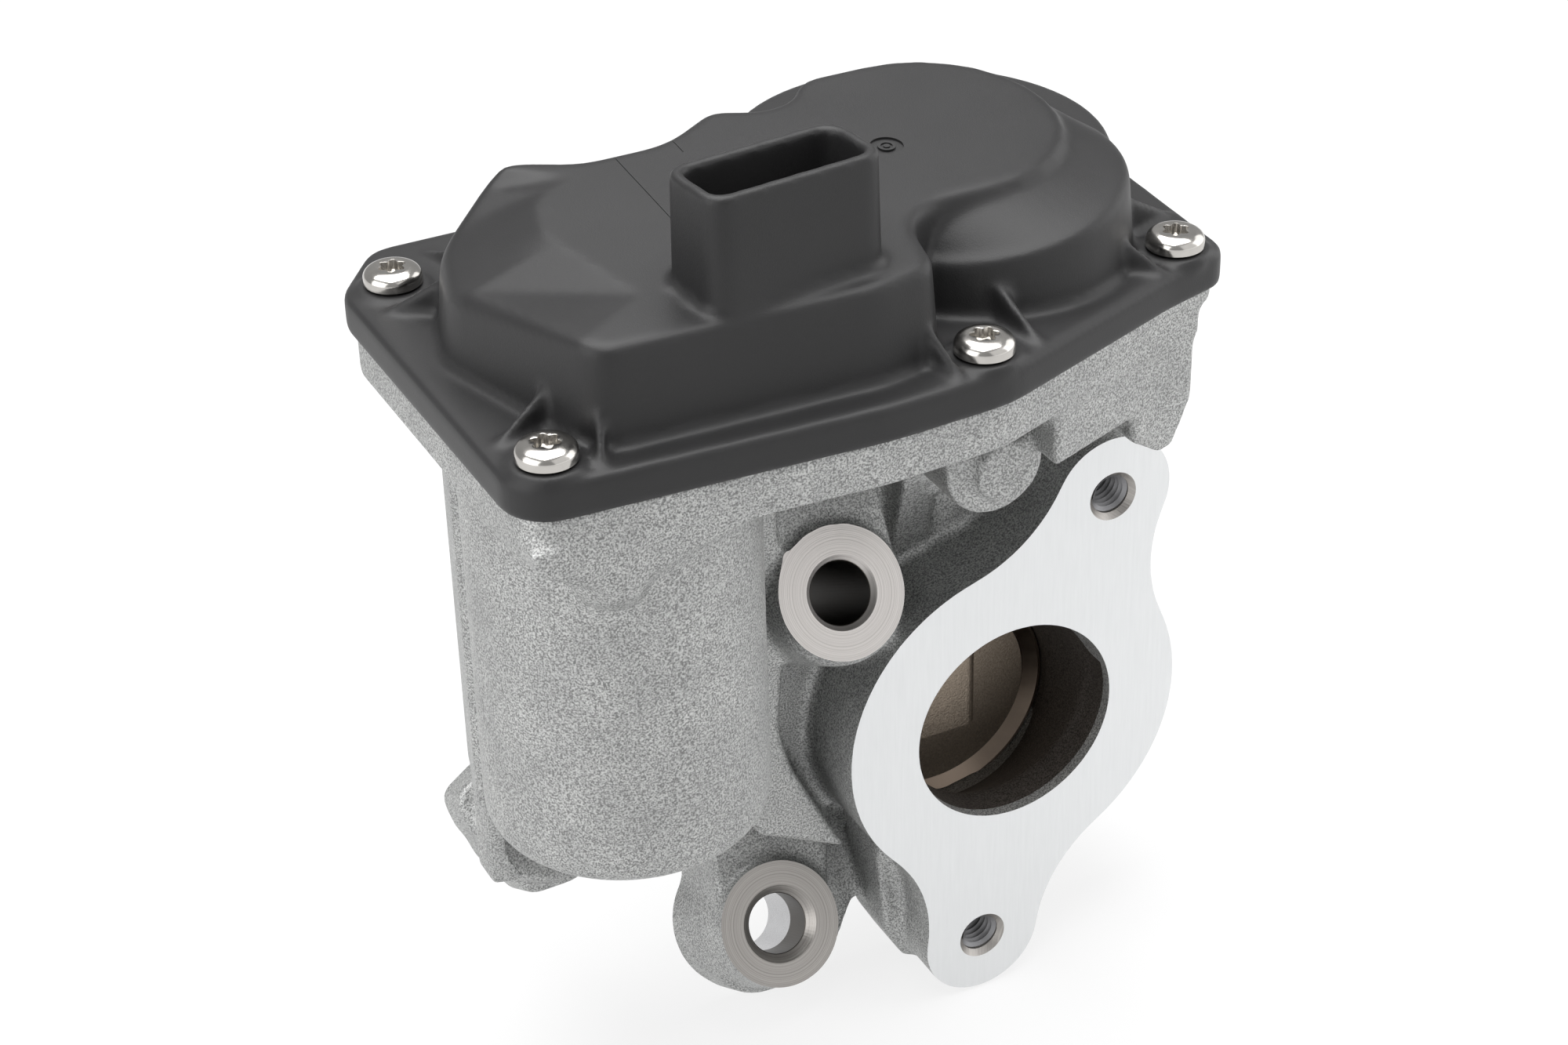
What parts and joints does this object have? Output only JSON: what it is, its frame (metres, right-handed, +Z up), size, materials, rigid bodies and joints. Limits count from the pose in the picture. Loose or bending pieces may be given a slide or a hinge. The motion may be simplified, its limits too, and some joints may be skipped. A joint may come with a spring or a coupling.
{
  "type": "exhaust gas recirculation valve",
  "caption": "Exhaust gas recirculation valve: cast housing with port flange and bolt bosses, geared motor drive, spring-closed flap and plug collar.",
  "frame": {"origin": "centre of the front gas port on the flange face", "axes": "-Y out of the front port, +Z up along the flap shaft towards the cover, +X to the right seen from the front"},
  "size_m": [0.1177, 0.0778, 0.151],
  "materials": {
    "cast_aluminium": "blasted die casting, machined faces brighter",
    "cover_plastic": "fine matte moulded plastic",
    "seal_rubber": "soft matte",
    "stainless": "polished",
    "contact_tin": "plated",
    "board": "solder mask",
    "seat_steel": "turned",
    "bronze": "sintered",
    "steel": "ground",
    "can_steel": "drawn, zinc plated",
    "magnet": "sintered",
    "dark_plastic": "moulded",
    "carbon": "pressed carbon",
    "flap_steel": "fine cast steel, heat tinted",
    "gear_plastic": "glass filled",
    "spring_steel": "drawn wire",
    "core_steel": "stacked sheet",
    "copper": "enamelled copper",
    "brass": "cut"
  },
  "bodies": {
    "valve_body": {"housing": "cast_aluminium", "cover": "cover_plastic", "cover_seal": "seal_rubber", "cover_screws": "stainless", "connector_terminals": "contact_tin", "sensor_board": "board", "seat_sleeve": "seat_steel", "lower_bush": "bronze", "shaft_seal": "seal_rubber", "upper_bearing": "steel", "dowel_sleeve": "steel", "motor_can": "can_steel", "motor_magnets": "magnet", "motor_end_cap": "dark_plastic", "motor_bearing": "bronze", "motor_brushes": "carbon", "motor_screws": "steel", "wave_spring": "steel", "intermediate_axle": "steel"},
    "flap": {"output_shaft": "stainless", "flap_disc": "flap_steel", "flap_ring": "seat_steel", "sector_gear": "gear_plastic", "sensor_magnet": "magnet", "return_spring": "spring_steel"},
    "idler": {"intermediate_gear": "gear_plastic"},
    "rotor": {"motor_shaft": "steel", "armature": "core_steel", "armature_windings": "copper", "commutator": "copper", "motor_pinion": "brass"}
  },
  "joints": [
    {"name": "motor_rotor", "type": "hinge", "parent": "valve_body", "child": "rotor", "pos_m": [-0.063, -0.004, 0.04], "axis": [0, 0, 1], "range_deg": [0, 1772.4]},
    {"name": "idler_turn", "type": "hinge", "parent": "valve_body", "child": "idler", "pos_m": [-0.03242, 0.01114, 0.062], "axis": [0, 0, 1], "range_deg": [-270, 0]},
    {"name": "flap_turn", "type": "hinge", "parent": "valve_body", "child": "flap", "pos_m": [-0.0025, 0.021, 0.02], "axis": [0, 0, 1], "range_deg": [0, 70.05], "stiffness_Nm_per_rad": 0.06, "springref_deg": -45.84, "deforming": ["return_spring"]}
  ],
  "couplings": [
    {"joint": "idler_turn", "follows": "motor_rotor", "ratio": -0.1519},
    {"joint": "flap_turn", "follows": "motor_rotor", "ratio": 0.039494}
  ]
}
